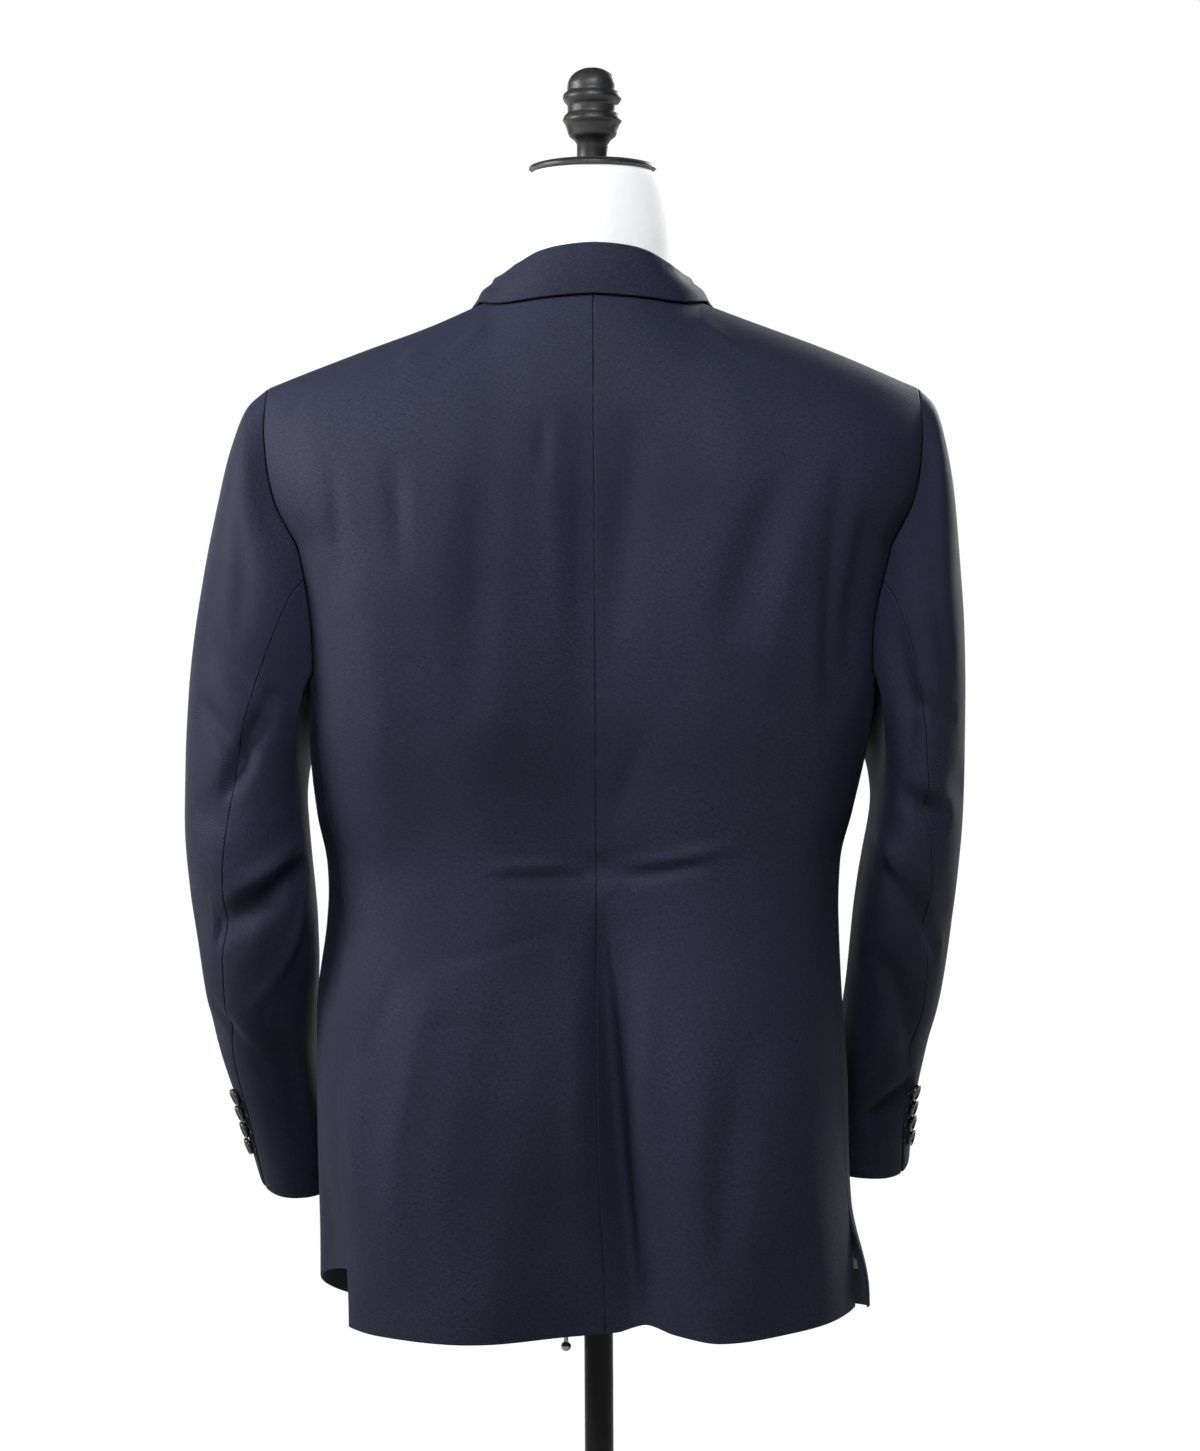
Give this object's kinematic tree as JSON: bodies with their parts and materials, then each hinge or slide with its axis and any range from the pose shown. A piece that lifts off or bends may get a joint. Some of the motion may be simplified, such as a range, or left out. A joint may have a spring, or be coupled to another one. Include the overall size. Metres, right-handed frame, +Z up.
{
  "type": "tuxedo jacket on a dress form",
  "caption": "Tailored navy tuxedo jacket with peak lapels and side vents, worn by a limbless jersey dress form on a pole and round base.",
  "frame": {"origin": "on the floor, in the middle of the base plate's flat underside, on the pole's axis", "axes": "+Z up along the pole, -Y the way the wearer faces, +X the wearer's left"},
  "size_m": [0.5839, 0.38, 1.6389],
  "materials": {
    "wool": "dark navy worsted wool, matt with a soft sheen",
    "satin": "dark navy satin facing",
    "horn": "near black, polished",
    "jersey": "white knitted cover",
    "black_wood": "turned wood, black satin lacquer",
    "black_paint": "semi-gloss black",
    "steel": "dull steel"
  },
  "bodies": {
    "stand": {"base_plate": "black_paint", "pole": "black_paint"},
    "clamp": {"clamp_ring": "black_paint"},
    "knob": {"clamp_knob": "steel"},
    "form": {"form_torso": "jersey", "form_socket": "black_paint", "neck_cap": "black_wood", "finial": "black_wood", "back_left": "wool", "back_right": "wool", "side_left": "wool", "side_right": "wool", "front_left": "wool", "front_right": "wool", "lapel_left": "satin", "lapel_right": "satin", "collar": "wool", "top_sleeve_left": "wool", "top_sleeve_right": "wool", "under_sleeve_left": "wool", "under_sleeve_right": "wool", "breast_welt": "satin", "front_button": "horn", "pocket_jet_upper_left": "satin", "pocket_jet_upper_right": "satin", "pocket_jet_lower_left": "satin", "pocket_jet_lower_right": "satin", "cuff_button_left_1": "horn", "cuff_button_left_2": "horn", "cuff_button_left_3": "horn", "cuff_button_left_4": "horn", "cuff_button_right_1": "horn", "cuff_button_right_2": "horn", "cuff_button_right_3": "horn", "cuff_button_right_4": "horn"}
  },
  "joints": [
    {"name": "form_height", "type": "slide", "parent": "stand", "child": "clamp", "axis": [0, 0, 1], "range_m": [-0.12, 0.1]},
    {"name": "form_turn", "type": "hinge", "parent": "clamp", "child": "form", "pos_m": [0, 0, 0.725], "axis": [0, 0, 1], "continuous": true},
    {"name": "knob_turn", "type": "hinge", "parent": "clamp", "child": "knob", "pos_m": [0.0245, 0, 0.706], "axis": [1, 0, 0], "continuous": true}
  ]
}
